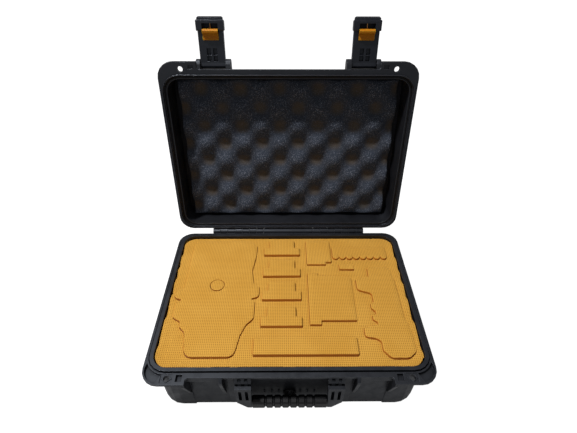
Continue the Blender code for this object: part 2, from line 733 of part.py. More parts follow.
def build_lid(frame):
    """The lid shell as one moulding."""
    lid = make_object("lid_shell", lid_body(), CASE_BLACK, frame, LID_PIVOT)
    bm = bmesh.new()
    add_prism(bm, flange_outline(FLANGE_FRONT, LID_CORNER_FRONT), LID_LOW, LID_LOW + LIP_THICK)
    shape_with(lid, bm, "UNION", "lip", LID_PIVOT)
    bm = bmesh.new()
    add_prism(bm, flange_outline(LIP_INNER, LID_CORNER_FRONT), LID_LOW + OVERLAP,
              LID_LOW + FLANGE_THICK)
    shape_with(lid, bm, "UNION", "flange", LID_PIVOT)
    bm = latch_ears()
    add_knuckles(bm, 1, LID_LOW, BASE_HEIGHT + KNUCKLE_RADIUS)
    shape_with(lid, bm, "UNION", "ears", LID_PIVOT)
    bm = bmesh.new()
    add_prism(bm, rounded_rect(*PANEL), LID_TOP - OVERLAP, LID_TOP + PANEL_TALL)
    shape_with(lid, bm, "UNION", "panel", LID_PIVOT)
    shape_with(lid, lid_holes(), "DIFFERENCE", "holes", LID_PIVOT)
    bm = bmesh.new()
    add_ring(bm, opening(SKIRT_OUT), opening(SKIRT_IN), BASE_HEIGHT - SKIRT_DROP,
             LID_LOW + OVERLAP)
    shape_with(lid, bm, "UNION", "skirt", LID_PIVOT)
    shape_with(lid, lid_cavity(), "DIFFERENCE", "cavity", LID_PIVOT)
    shape_with(lid, lid_seat(), "DIFFERENCE", "seat", LID_PIVOT)


def build_seal(frame):
    """The round sealing ring that sits in the lid's channel."""
    bm = bmesh.new()
    centre = BASE_HEIGHT + RIDGE_TALL + GAP + SEAL_RADIUS
    rings = []
    for step in range(SEAL_SIDES):
        angle = math.radians(360) * step / SEAL_SIDES
        out = SEAL_OFFSET + SEAL_RADIUS * math.cos(angle)
        z = centre + SEAL_RADIUS * math.sin(angle)
        rings.append([(x, y, z) for x, y in opening(out)])
    add_loft(bm, rings, closed=True)
    smooth(make_object("lid_seal", bm, RUBBER_BLACK, frame, LID_PIVOT))


def build_pin(name, x0, x1, y, z, radius, frame=None):
    """A steel pin along X between two stations of its frame."""
    bm = bmesh.new()
    half = (x1 - x0) / 2
    add_rod(bm, -half, half, 0, 0, radius)
    pin = make_object(name, bm, STEEL_GREY, frame)
    pin.location = ((x0 + x1) / 2, y, z)
    smooth(pin)


def build_pins(frame):
    """Hinge, latch and handle pins."""
    for sign, side in zip(SIDES, SIDE_NAMES):
        x0, x1 = sorted((sign * HINGE_START, sign * HINGE_END))
        build_pin("hinge_pin_" + side, x0, x1, HINGE_Y, BASE_HEIGHT, HINGE_PIN)
        x0, x1 = sorted((sign * (EAR_NEAR - LATCH_PIN_SEAT + OVERLAP), sign * CORNER_INNER))
        build_pin("latch_pin_" + side, x0, x1, LATCH_Y - HINGE_Y, LATCH_RISE, LATCH_PIN, frame)
        x0, x1 = sorted((sign * HANDLE_IN, sign * HANDLE_OUT))
        build_pin("handle_pin_" + side, x0, x1, HANDLE_Y, HANDLE_Z, HANDLE_PIN)


# ------------------------------------------------------------------- latches

def build_latch(side, frame):
    """Latch drawn closed: +Y faces the case and -Z runs to the tip."""
    bm = bmesh.new()
    add_profile(bm, arc((0, 0), LATCH_BARREL, 0, 180, 8) + scaled(LEVER), -LATCH_HALF, LATCH_HALF)
    latch = make_object("latch_" + side, bm, LATCH_BLACK, frame)
    bm = bmesh.new()
    add_profile(bm, scaled(HEAD), -HEAD_HALF, HEAD_HALF)
    shape_with(latch, bm, "UNION", "head")
    bm = bmesh.new()
    add_box(bm, -WINDOW_HALF, WINDOW_HALF, WINDOW_BACK, WINDOW_OPEN, -WINDOW_FAR, -WINDOW_NEAR)
    for x0, x1 in LATCH_POCKET_X:
        for z0, z1 in LATCH_POCKET_Z:
            add_box(bm, x0, x1, LATCH_POCKET_FLOOR, WINDOW_OPEN, z0, z1)
    add_rod(bm, -HEAD_HALF, HEAD_HALF, 0, 0, LATCH_PIN + BORE_PLAY)
    for sign in SIDES:
        outline = [(sign * x, z) for x, z in scaled(TIP_CORNER)]
        add_extrusion(bm, [(x, -WINDOW_OPEN, z) for x, z in outline], (0, 2 * WINDOW_OPEN, 0))
    shape_with(latch, bm, "DIFFERENCE", "window")
    bm = bmesh.new()
    add_prism(bm, circle((0, GUIDE_OUT), GUIDE_RADIUS, GUIDE_SIDES), -WINDOW_FAR, -GUIDE_END)
    smooth(make_object("guide_pin_" + side, bm, BRONZE, frame))


def build_hook(side, frame):
    """Orange sliding hook: nose and tab towards the pivot, finger lip towards the tip."""
    bm = bmesh.new()
    half = WINDOW_HALF - GAP
    add_profile(bm, scaled(HOOK), -half, half)
    hook = make_object("latch_hook_" + side, bm, HOOK_ORANGE, frame)
    bm = bmesh.new()
    add_prism(bm, circle((0, GUIDE_OUT), GUIDE_RADIUS + GAP, GUIDE_SIDES), -WINDOW_FAR,
              -GUIDE_END + CUT_PAST)
    shape_with(hook, bm, "DIFFERENCE", "bore")


# -------------------------------------------------------------------- handle

def add_handle_knuckles(bm):
    """Two knuckles on each arm, tangent to the arm below."""
    profile = arc((0, 0), HANDLE_KNUCKLE, 0, 180, 8)
    profile += [(-HANDLE_KNUCKLE, -KNUCKLE_FOOT), (3 * MM, -KNUCKLE_FOOT)]
    for sign in SIDES:
        for x0, x1 in handle_fingers()[1]:
            add_profile(bm, profile, sign * x0, sign * x1)


def build_handle(frame):
    """Handle frame: two box arms on knuckles, joined by a bar under the grip."""
    bm = bmesh.new()
    reach = GRIP_HALF + 3 * OVERLAP
    add_box(bm, -reach, reach, GRIP_Y - BAR_DEEP / 2, GRIP_Y + BAR_DEEP / 2,
            GRIP_Z - BAR_TALL / 2, GRIP_Z + BAR_TALL / 2)
    handle = make_object("handle_frame", bm, CASE_BLACK, frame)
    bm = bmesh.new()
    for sign in SIDES:
        outline = [(sign * x, z) for x, z in scaled(ARM)]
        add_extrusion(bm, [(x, ARM_DEEP[0], z) for x, z in outline],
                      (0, ARM_DEEP[1] - ARM_DEEP[0], 0))
    shape_with(handle, bm, "UNION", "arms")
    bm = bmesh.new()
    add_handle_knuckles(bm)
    shape_with(handle, bm, "UNION", "knuckles")
    bm = bmesh.new()
    for sign in SIDES:
        add_rod(bm, sign * (HANDLE_IN - CUT_PAST), sign * (HANDLE_OUT + CUT_PAST), 0, 0,
                HANDLE_PIN + BORE_PLAY)
        for x0, x1 in handle_fingers()[1]:
            add_box(bm, sign * x0, sign * x1, ARM_DEEP[0] - CUT_PAST, ARM_SLOT_DEEP, *ARM_SLOT)
    shape_with(handle, bm, "DIFFERENCE", "slots")


def grip_section(x, shrink):
    """Rounded rectangular section of the grip at one station."""
    outline = rounded_rect(-GRIP_DEEP / 2 + shrink, GRIP_DEEP / 2 - shrink,
                           -GRIP_TALL / 2 + shrink, GRIP_TALL / 2 - shrink, GRIP_ROUND - shrink, 2)
    return [(x, GRIP_Y + y, GRIP_Z + z) for y, z in outline]


def build_grip(frame):
    """Soft grip sleeve with six lobes between two longer ends."""
    bm = bmesh.new()
    rings = [grip_section(-GRIP_HALF, GRIP_CHAMFER), grip_section(-GRIP_HALF + GRIP_CHAMFER, 0)]
    for index in range(LOBES + 1):
        x = (index - LOBES / 2) * LOBE_PITCH
        rings.append(grip_section(x - NOTCH_OUTER, 0))
        rings.append(grip_section(x - NOTCH_INNER, LOBE_NOTCH))
        rings.append(grip_section(x + NOTCH_INNER, LOBE_NOTCH))
        rings.append(grip_section(x + NOTCH_OUTER, 0))
    rings += [grip_section(GRIP_HALF - GRIP_CHAMFER, 0), grip_section(GRIP_HALF, GRIP_CHAMFER)]
    add_loft(bm, rings)
    grip = make_object("handle_grip", bm, RUBBER_BLACK, frame)
    bm = bmesh.new()
    reach = GRIP_HALF + CUT_PAST
    deep = BAR_DEEP / 2 + GAP
    tall = BAR_TALL / 2 + GAP
    add_box(bm, -reach, reach, GRIP_Y - deep, GRIP_Y + deep, GRIP_Z - tall, GRIP_Z + tall)
    shape_with(grip, bm, "DIFFERENCE", "slot")


# --------------------------------------------------------------------- valve

def add_disc(bm, radius, y0, y1):
    """A disc around the valve axis, which runs along Y."""
    add_extrusion(bm, [(x, y0, z) for x, z in circle((0, VALVE_Z), radius)], (0, y1 - y0, 0))


def valve_ring(outer, inner, y0, y1):
    """A flat ring around the valve axis."""
    bm = bmesh.new()
    corners = ((outer, y0), (outer, y1), (inner, y1), (inner, y0))
    add_loft(bm, [[(x, y, z) for x, z in circle((0, VALVE_Z), radius)] for radius, y in corners],
             closed=True)
    return bm


def build_valve():
    """Pressure valve: threaded body, seal, nut inside and a knurled knob outside."""
    bm = bmesh.new()
    add_disc(bm, VALVE_BODY, *VALVE_BODY_Y)
    body = make_object("valve_body", bm, LATCH_BLACK)
    bm = bmesh.new()
    add_disc(bm, VALVE_STEM, VALVE_BODY_Y[0] + OVERLAP, FOAM_FRONT - GAP)
    shape_with(body, bm, "UNION", "stem")
    make_object("valve_seal", valve_ring(VALVE_SEAL, VALVE_STEM + GAP, *VALVE_SEAL_Y), RUBBER_BLACK)
    make_object("valve_nut", valve_ring(VALVE_NUT, VALVE_STEM + BORE_PLAY, *VALVE_NUT_Y), LATCH_BLACK)
    bm = bmesh.new()
    knurl = []
    for index in range(HOLE_SIDES):
        radius = VALVE_KNOB - VALVE_KNURL * (1 - index % 2)
        angle = math.radians(360) * index / HOLE_SIDES
        knurl.append((radius * math.cos(angle), radius * math.sin(angle)))
    add_extrusion(bm, [(x, VALVE_KNOB_Y[1], z) for x, z in knurl],
                  (0, VALVE_KNOB_Y[0] - VALVE_KNOB_Y[1], 0))
    make_object("valve_knob", bm, LATCH_BLACK).location = (0, WALL_FRONT, VALVE_Z)


# --------------------------------------------------------------------- foams

DRONE = ((-197, 146, 14), (-80, 146, 14), (-65, 130, 8), (-66, 100, 20), (-72, 60, 20), (-67, 27, 5),
         (-56, 22, 5), (-56, -4, 7), (-71, -8, 2), (-63, -15, 5), (-63, -52, 12), (-76, -66, 8),
         (-84, -86, 10), (-92, -127, 12), (-172, -127, 14), (-180, -80, 10), (-190, -70, 5),
         (-192, -58, 3), (-206, -50, 7), (-206, -17, 5), (-197, -11, 1.5), (-212, -6, 8),
         (-212, 12, 8), (-197, 16, 6))
REMOTE = ((156, 70, 6), (200, 70, 12), (204, 36, 10), (204, -50, 10), (210, -78, 14), (210, -118, 12),
          (196, -130, 14), (166, -130, 12), (155, -116, 6), (155, -98, 8), (146, -93, 6),
          (129, -90, 6), (129, -72, 6), (155, -66, 2), (155, -61, 1), (148, -55, 2), (148, -47, 2),
          (155, -44, 1), (155, -38, 1), (149, -31, 2), (149, -22, 2), (155, -17, 1), (155, 3, 7),
          (129, 12, 8), (129, 38, 6), (156, 44, 4))
CHARGER = ((36.5, 54, 2), (57, 54, 1), (57, 48, 1), (120.5, 44, 2), (119.5, -57, 1), (57, -57, 1),
           (57, -65.5, 1), (36.5, -65.5, 1))
CABLE = ((37, 77, 1), (75, 77, 1), (75, 83.5, 1), (86.5, 83.5, 1), (86.5, 146, 3), (37, 146, 3))
CARD = ((101, 64, 1), (130, 64, 1), (130, 78, 2), (101, 78, 2))
ACCESSORY = ((-60, -124, 1.5), (114, -124, 1.5), (114, -91, 1.5), (-60, -91, 1.5))
BATTERY = ((-50, 0, 1), (23, 0, 1), (23, 19.5, 1), (12, 19.5, 1), (12, 43, 3), (-39, 43, 3),
           (-39, 19.5, 1), (-50, 19.5, 1))
BATTERY_FIRST = 103 * MM
BATTERY_PITCH = 57.3 * MM
DISC_AT = (-136.5 * MM, 24 * MM)
DISC_RADIUS = 13 * MM
PROP_LEFT = 89.5 * MM
PROP_LOBES = 8
PROP_PITCH = 14.1 * MM
PROP_WALL = 0.4 * MM
PROP_FRONT = 99 * MM
PROP_BACK = 126 * MM


def propeller_outline():
    """A row of eight slots, round at the front."""
    points = []
    radius = PROP_PITCH / 2 - PROP_WALL
    for index in range(PROP_LOBES):
        middle = PROP_LEFT + (index + 0.5) * PROP_PITCH
        points += arc((middle, PROP_FRONT), radius, 180, 360, 5)
    points += [(points[-1][0], PROP_BACK), (points[0][0], PROP_BACK)]
    return points


def plug_outlines():
    """Name, outline and rise above the insert of each cut-out piece."""
    plugs = [("plug_drone", filleted(DRONE), PLUG_PROUD),
             ("plug_remote", filleted(REMOTE), PLUG_PROUD),
             ("plug_charger", filleted(CHARGER, 2), PLUG_PROUD),
             ("plug_cable", filleted(CABLE, 2), PLUG_PROUD),
             ("plug_card", filleted(CARD, 2), PLUG_PROUD),
             ("plug_accessory", filleted(ACCESSORY, 2), PLUG_TALL),
             ("plug_propellers", propeller_outline(), PLUG_PROUD)]
    for index in range(4):
        shift = BATTERY_FIRST - index * BATTERY_PITCH
        outline = [(x, y + shift) for x, y in filleted(BATTERY, 2)]
        plugs.append(("plug_battery_%d" % (index + 1), outline, PLUG_TALL))
    return plugs


def foam_outline(inset, sweep):
    """The insert seen from above, pulled in and with its corners swept rounder."""
    return rounded_rect(-FOAM_HALF + inset, FOAM_HALF - inset, FOAM_FRONT + inset,
                        FOAM_BACK - inset, FOAM_RADIUS + sweep)


def build_plug(name, outline, proud):
    """One cut-out piece that stands a little proud of the insert."""
    bm = bmesh.new()
    add_prism(bm, outline, FOAM_SPLIT + GAP, FOAM_TOP + proud)
    centre_x = sum(x for x, _ in outline) / len(outline)
    centre_y = sum(y for _, y in outline) / len(outline)
    return make_object(name, bm, FOAM_ORANGE, at=(centre_x, centre_y, FOAM_SPLIT))


def build_base_foam():
    """Pocketed insert, its pad and the cut-out pieces."""
    bm = bmesh.new()
    low, high = FOAM_STEP
    levels = ((FOAM_SPLIT + GAP / 2, FOAM_DRAFT, FOAM_SWEEP), (low, FOAM_DRAFT, FOAM_SWEEP),
              (high, 0, 0), (FOAM_TOP, 0, 0))
    add_loft(bm, [[(x, y, z) for x, y in foam_outline(*shape)] for z, *shape in levels])
    insert = make_object("foam_insert", bm, FOAM_ORANGE)
    past = FOAM_TOP + PLUG_TALL + CUT_PAST
    bm = bmesh.new()
    for name, outline, proud in plug_outlines():
        add_prism(bm, grown(outline, GAP), FOAM_SPLIT - CUT_PAST, past)
        plug = build_plug(name, outline, proud)
        if name == "plug_drone":
            well = bmesh.new()
            add_prism(well, circle(DISC_AT, DISC_RADIUS + GAP), FOAM_TOP - DISC_DEEP, past)
            shape_with(plug, well, "DIFFERENCE", "well")
    shape_with(insert, bm, "DIFFERENCE", "pockets")
    bm = bmesh.new()
    add_prism(bm, circle(DISC_AT, DISC_RADIUS), FOAM_TOP - DISC_DEEP + GAP, FOAM_TOP + PLUG_PROUD)
    make_object("plug_drone_disc", bm, FOAM_ORANGE, at=(*DISC_AT, FOAM_TOP))
    bm = bmesh.new()
    add_prism(bm, foam_outline(FOAM_DRAFT, FOAM_SWEEP), FLOOR + GAP, FOAM_SPLIT - GAP / 2)
    make_object("foam_base_pad", bm, FOAM_DARK)


def egg_height(x, y):
    """Height of the egg-crate face below the lid's roof plane."""
    wave = math.cos(math.pi * x / EGG_PITCH) * math.cos(math.pi * y / EGG_PITCH)
    return LID_FOAM_MEAN - EGG_WAVE * wave


def build_lid_foam(lid_frame):
    """Egg-crate foam as one closed block under the roof of the lid."""
    columns = EGG_COLUMNS
    rows = EGG_ROWS
    bm = bmesh.new()
    low = []
    high = []
    for row in range(rows + 1):
        y = LID_FOAM_FRONT + (LID_FOAM_BACK - LID_FOAM_FRONT) * row / rows
        low_row = []
        high_row = []
        for column in range(columns + 1):
            x = -LID_FOAM_HALF + 2 * LID_FOAM_HALF * column / columns
            low_row.append(bm.verts.new((x, y, BASE_HEIGHT + egg_height(x, y))))
            if row in (0, rows) or column in (0, columns):
                high_row.append(bm.verts.new((x, y, LID_FOAM_ROOF)))
            else:
                high_row.append(None)
        low.append(low_row)
        high.append(high_row)
    for row in range(rows):
        for column in range(columns):
            bm.faces.new((low[row][column], low[row][column + 1], low[row + 1][column + 1],
                          low[row + 1][column]))
    rim_low = low[0] + [line[-1] for line in low[1:]]
    rim_low += low[-1][-2::-1] + [line[0] for line in low[-2:0:-1]]
    rim_high = high[0] + [line[-1] for line in high[1:]]
    rim_high += high[-1][-2::-1] + [line[0] for line in high[-2:0:-1]]
    for index in range(len(rim_low)):
        following = (index + 1) % len(rim_low)
        bm.faces.new((rim_low[index], rim_low[following], rim_high[following], rim_high[index]))
    bm.faces.new(rim_high)
    make_object("lid_foam", bm, FOAM_DARK, lid_frame, LID_PIVOT)


# ------------------------------------------------------------------ assembly

def main():
    """Build every piece in its frame."""
    build_base()
    lid_frame = make_empty("lid_frame", LID_PIVOT)
    build_lid(lid_frame)
    build_seal(lid_frame)
    build_pins(lid_frame)
    latch_frames = []
    for sign, side in zip(SIDES, SIDE_NAMES):
        place = (sign * LATCH_X, LATCH_Y - HINGE_Y, LATCH_RISE)
        frame = make_empty("latch_frame_" + side, place, lid_frame)
        latch_frames.append(frame)
        build_latch(side, frame)
        build_hook(side, frame)
    handle_frame = make_empty("handle_pivot", (0, HANDLE_Y, HANDLE_Z))
    build_handle(handle_frame)
    build_grip(handle_frame)
    build_valve()
    build_base_foam()
    build_lid_foam(lid_frame)
    apply_modifiers()
    lid_frame.rotation_euler.x = -HINGE_OPEN
    for frame in latch_frames:
        frame.rotation_euler.x = -LATCH_OPEN


main()
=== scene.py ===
"""Looks of an open rugged carrying case with cut foam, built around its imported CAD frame."""

import json
import math

import bmesh
import bpy
import numpy as np
from mathutils import Matrix, Vector, geometry


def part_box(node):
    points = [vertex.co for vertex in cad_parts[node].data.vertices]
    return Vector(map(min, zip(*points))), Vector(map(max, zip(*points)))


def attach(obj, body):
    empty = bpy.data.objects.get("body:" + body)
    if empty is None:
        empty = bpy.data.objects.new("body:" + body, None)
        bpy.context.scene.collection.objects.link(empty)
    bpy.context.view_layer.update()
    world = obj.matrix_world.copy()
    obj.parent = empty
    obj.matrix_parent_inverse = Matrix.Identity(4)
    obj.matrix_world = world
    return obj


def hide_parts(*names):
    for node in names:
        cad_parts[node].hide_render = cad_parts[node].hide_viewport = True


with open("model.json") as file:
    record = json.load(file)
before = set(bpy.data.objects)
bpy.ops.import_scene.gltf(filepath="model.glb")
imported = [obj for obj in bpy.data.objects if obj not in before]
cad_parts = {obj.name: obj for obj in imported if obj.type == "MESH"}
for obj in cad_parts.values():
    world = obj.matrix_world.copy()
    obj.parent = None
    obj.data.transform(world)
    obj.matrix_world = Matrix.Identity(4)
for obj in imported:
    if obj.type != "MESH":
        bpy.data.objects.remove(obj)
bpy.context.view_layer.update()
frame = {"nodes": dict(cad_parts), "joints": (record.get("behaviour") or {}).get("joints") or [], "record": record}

MM = 0.001
NODES = frame["nodes"]
SLOT_OF = {part["node"]: part["material_slot"] for part in frame["record"]["subparts"]}
HINGE = next(joint for joint in frame["joints"] if joint["name"] == "lid_hinge")
LID_PIVOT = Vector(HINGE["pos_m"])
LID_ANGLE = math.radians(HINGE["range_deg"][0])


def lid_matrix():
    """Closed-lid coordinates to the open rest pose."""
    turn = Matrix.Rotation(LID_ANGLE, 4, "X")
    return Matrix.Translation(LID_PIVOT) @ turn @ Matrix.Translation(-LID_PIVOT)


LID = lid_matrix()


# -------------------------------------------------------------------- palette

CASE_BLACK = (0.0078, 0.0081, 0.0100)
LATCH_BLACK = (0.0052, 0.0057, 0.0082)
RUBBER_BLACK = (0.0052, 0.0052, 0.0060)
# The valve is painted lighter than the case, as painted light against the shade behind the grip
VALVE_LIFTED_BLACK = (0.022, 0.022, 0.024)
HOOK_ORANGE = (0.45, 0.155, 0.007)
GUIDE_COPPER = (0.62, 0.33, 0.13)
PIN_STEEL = (0.55, 0.56, 0.60)
FOAM_PALE = (0.690, 0.368, 0.060)
FOAM_DEEP = (0.635, 0.325, 0.046)
FOAM_SHADE = (0.52, 0.25, 0.030)
FOAM_DOT = (0.24, 0.088, 0.006)
# Cut sides: painted shade
FOAM_SIDE_PAINTED_SHADE = (0.44, 0.125, 0.0)
LID_TIP = (0.037, 0.044, 0.060)
# Valleys: painted bounce light, lighter and browner than the tips
LID_VALLEY_PAINTED_BOUNCE = (0.076, 0.062, 0.048)
LID_SPECK = (0.190, 0.210, 0.260)
LID_PORE = (0.008, 0.008, 0.009)
COOL = (0.82, 0.89, 1.0)  # tint of the plastics' highlights
WHITE = (1.0, 1.0, 1.0, 1.0)
FLOOR_COLOUR = (0.20, 0.20, 0.205, 1.0)

# Brightness against a material's own colour: a plastic's specks and rubbed edges (wear
# and painted highlight), the bloom on rubber, the lines of drawn metal
SPECK_LIGHT = 2.6
EDGE_RUB_AND_HIGHLIGHT = 7.0
BLOOM_LIGHT = 1.8
METAL_SHADE = 0.75

# Noise scales, in cells per metre
FLOW_SCALE = 9.0
EDGE_PATCH_SCALE = 240.0
POLISH_SCALE = 60.0
SPECK_SCALE = 430.0
GRAIN_SCALE = 1400.0
BRUSHED_SCALE = 900.0
BLOOM_SCALE = 35.0
RUBBER_SCALE = 1800.0
PATCH_SCALE = 14.0
CELL_SCALE = 1100.0
FOAM_SCALE = 900.0
PORE_SCALE = 1150.0
FLECK_SCALE = 620.0
OPEN_CELL_SCALE = 700.0

# Radii of the shaded edges, reach of the painted shade in recesses, pitch of the foam's pin dots
PLASTIC_EDGE = 0.7 * MM
FINE_EDGE = 0.5 * MM
RUBBER_EDGE = 0.6 * MM
RECESS_REACH = 34 * MM
DOT_PITCH = 3.2 * MM


def shade(colour, factor):
    """A colour made brighter or darker."""
    return tuple(factor * channel for channel in colour)


# ------------------------------------------------------------- shader graphs

class Graph:
    """A Principled material whose inputs are fed by small node chains."""

    def __init__(self, name):
        self.material = bpy.data.materials.new(name)
        self.material.use_nodes = True
        self.tree = self.material.node_tree
        self.shader = self.tree.nodes["Principled BSDF"]
        self.coords = self.tree.nodes.new("ShaderNodeTexCoord").outputs["Object"]

    def node(self, kind, inputs=None, **settings):
        """A node with its settings made and its inputs fed."""
        made = self.tree.nodes.new(kind)
        for key, value in settings.items():
            setattr(made, key, value)
        for key, value in (inputs or {}).items():
            self.feed(made.inputs[key], value)
        return made

    def feed(self, socket, value):
        """A link or a fixed value into a socket."""
        if isinstance(value, bpy.types.NodeSocket):
            self.tree.links.new(value, socket)
        elif isinstance(value, tuple) and len(value) == 3 and socket.type == "RGBA":
            socket.default_value = (*value, 1.0)
        else:
            socket.default_value = value

    def put(self, name, value):
        """An input of the material's shader."""
        self.feed(self.shader.inputs[name], value)

    def noise(self, scale, detail=3.0, rough=0.6, stretch=None):
        where = self.coords
        if stretch:
            where = self.vector("MULTIPLY", where, stretch).outputs[0]
        inputs = {"Vector": where, "Scale": scale, "Detail": detail, "Roughness": rough}
        return self.node("ShaderNodeTexNoise", inputs).outputs["Fac"]

    def cells(self, scale):
        inputs = {"Vector": self.coords, "Scale": scale}
        return self.node("ShaderNodeTexVoronoi", inputs, feature="F1").outputs["Distance"]

    def ramp(self, value, low, high, out_low=0.0, out_high=1.0):
        """A smooth step from out_low at low to out_high at high."""
        inputs = {"Value": value, "From Min": low, "From Max": high,
                  "To Min": out_low, "To Max": out_high}
        made = self.node("ShaderNodeMapRange", inputs, interpolation_type="SMOOTHSTEP")
        return made.outputs["Result"]

    def math(self, operation, a, b):
        return self.node("ShaderNodeMath", {0: a, 1: b}, operation=operation).outputs[0]

    def vector(self, operation, a, b=None):
        """A vector maths node; its result is output 0, or Value for a length or a product."""
        inputs = {0: a} if b is None else {0: a, 1: b}
        return self.node("ShaderNodeVectorMath", inputs, operation=operation)

    def mix(self, factor, a, b):
        """A colour between a and b."""
        made = self.node("ShaderNodeMix", {"Factor": factor}, data_type="RGBA")
        self.feed(made.inputs[6], a)
        self.feed(made.inputs[7], b)
        return made.outputs[2]

    def bevel(self, radius):
        """The normal as if each edge were rounded."""
        return self.node("ShaderNodeBevel", {"Radius": radius}, samples=4).outputs["Normal"]

    def bump(self, height, strength, distance, normal=None):
        inputs = {"Height": height, "Strength": strength, "Distance": distance}
        if normal is not None:
            inputs["Normal"] = normal
        return self.node("ShaderNodeBump", inputs).outputs["Normal"]

    def true_normal(self):
        return self.node("ShaderNodeNewGeometry").outputs["True Normal"]

    def edge_rounding(self, rounded):
        """0 on flat faces, rising to 1 where the rounded normal leaves the true one."""
        agree = self.vector("DOT_PRODUCT", rounded, self.true_normal())
        return self.ramp(agree.outputs["Value"], 0.995, 0.90)

    def openness(self, reach):
        """1 in the open, falling towards 0 deep in a recess."""
        inputs = {"Distance": reach}
        return self.node("ShaderNodeAmbientOcclusion", inputs, samples=8).outputs["AO"]

    def up(self):
        """How far the true surface faces up, as -1 to 1."""
        return self.node("ShaderNodeSeparateXYZ", {"Vector": self.true_normal()}).outputs["Z"]


def moulded_plastic(name, colour, rough, grain=1.0, edge=PLASTIC_EDGE, bright=1.6, shine=0.5):
    """Injection-moulded plastic: fine spark-eroded grain, faint flow marks, rubbed edges lightened as wear and
    painted highlight, painted shade on the shine in recesses.
    """
    graph = Graph(name)
    flow = graph.ramp(graph.noise(FLOW_SCALE, 4.0, 0.55), 0.35, 0.7)
    specks = graph.ramp(graph.noise(SPECK_SCALE, 2.0, 0.5), 0.62, 0.74, 0.0, 0.35)
    edge_patches = graph.ramp(graph.noise(EDGE_PATCH_SCALE), 0.3, 0.6, 0.3, 1.0)
    polish = graph.ramp(graph.noise(POLISH_SCALE), 0.3, 0.75, rough - 0.06, rough + 0.1)
    normal = graph.bevel(edge)
    # Rubbed edges: lighter colour and extra shine along the edges, partly wear and partly painted highlight
    rub_and_highlight = graph.math("MULTIPLY", graph.edge_rounding(normal), edge_patches)
    rubbed_and_highlit = tuple(min(1.0, channel) for channel in shade(colour, EDGE_RUB_AND_HIGHLIGHT))
    base = graph.mix(flow, colour, shade(colour, bright))
    base = graph.mix(specks, base, shade(colour, SPECK_LIGHT))
    base = graph.mix(rub_and_highlight, base, rubbed_and_highlit)
    # Painted shade: the shine is dimmed in recesses, by how open the surface is
    clear = graph.ramp(graph.openness(RECESS_REACH), 0.1, 0.85, 0.15 * shine, shine)
    graph.put("Base Color", base)
    graph.put("Roughness", polish)
    graph.put("Specular IOR Level", graph.math("ADD", clear, graph.math("MULTIPLY", rub_and_highlight, shine)))
    graph.put("Specular Tint", COOL)
    grain_height = graph.noise(GRAIN_SCALE, 2.0, 0.7)
    graph.put("Normal", graph.bump(grain_height, 0.30 * grain, 0.10 * MM, normal))
    return graph.material


def metal(name, colour, rough):
    """Drawn metal pin with faint lengthwise lines."""
    graph = Graph(name)
    lines = graph.noise(BRUSHED_SCALE, 2.0, 0.5, stretch=(0.05, 1.0, 1.0))
    graph.put("Base Color", graph.mix(lines, shade(colour, METAL_SHADE), colour))
    graph.put("Metallic", 1.0)
    graph.put("Roughness", graph.ramp(lines, 0.3, 0.7, rough - 0.06, rough + 0.08))
    graph.put("Normal", graph.bump(lines, 0.15, 0.05 * MM))
    return graph.material


def rubber(name, colour):
    """Satin soft rubber with a dusty bloom and painted shade on its shine in recesses."""
    graph = Graph(name)
    bloom = graph.noise(BLOOM_SCALE, 5.0, 0.6)
    dusty = graph.ramp(bloom, 0.4, 0.75)
    graph.put("Base Color", graph.mix(dusty, colour, shade(colour, BLOOM_LIGHT)))
    graph.put("Roughness", graph.ramp(bloom, 0.3, 0.8, 0.34, 0.50))
    # Painted shade: the shine is dimmed in recesses, by how open the surface is
    clear = graph.ramp(graph.openness(RECESS_REACH), 0.3, 0.9, 0.05, 0.30)
    graph.put("Specular IOR Level", clear)
    skin = graph.noise(RUBBER_SCALE, 2.0)
    graph.put("Normal", graph.bump(skin, 0.25, 0.08 * MM, graph.bevel(RUBBER_EDGE)))
    return graph.material


def pin_dots(graph):
    """1 at the middle of each pressed dot of a square pattern, 0 between the dots."""
    flat = graph.vector("MULTIPLY", graph.coords, (1 / DOT_PITCH, 1 / DOT_PITCH, 0.0)).outputs[0]
    cell = graph.vector("FRACTION", flat).outputs[0]
    away = graph.vector("SUBTRACT", cell, (0.5, 0.5, 0.0)).outputs[0]
    distance = graph.vector("LENGTH", away).outputs["Value"]
    return graph.ramp(distance, 0.19, 0.33, 1.0, 0.0)


def orange_foam(name):
    """Closed-cell foam: pin-dot pressed top, plainer cut sides painted darker as shade on faces that do not face
    up.
    """
    graph = Graph(name)
    dot = graph.math("MULTIPLY", pin_dots(graph), graph.ramp(graph.up(), 0.55, 0.8))
    patch = graph.ramp(graph.noise(PATCH_SCALE, 3.0), 0.3, 0.7)
    fine = graph.ramp(graph.noise(CELL_SCALE, 2.0), 0.35, 0.7, 0.0, 0.30)
    body = graph.mix(patch, FOAM_DEEP, FOAM_PALE)
    body = graph.mix(fine, body, FOAM_SHADE)
    body = graph.mix(graph.math("MULTIPLY", dot, 0.8), body, FOAM_DOT)
    # Painted shade: surfaces grow darker the less they face up, on the cut sides
    body = graph.mix(graph.ramp(graph.up(), 0.2, 0.8, 0.85, 0.0), body, FOAM_SIDE_PAINTED_SHADE)
    graph.put("Base Color", body)
    graph.put("Roughness", 0.85)
    graph.put("Specular IOR Level", 0.2)
    graph.put("Sheen Weight", 0.08)
    pressed = graph.math("MULTIPLY", dot, 2.2)
    height = graph.math("SUBTRACT", graph.noise(FOAM_SCALE, 2.0), pressed)
    graph.put("Normal", graph.bump(height, 0.35, 0.25 * MM))
    return graph.material


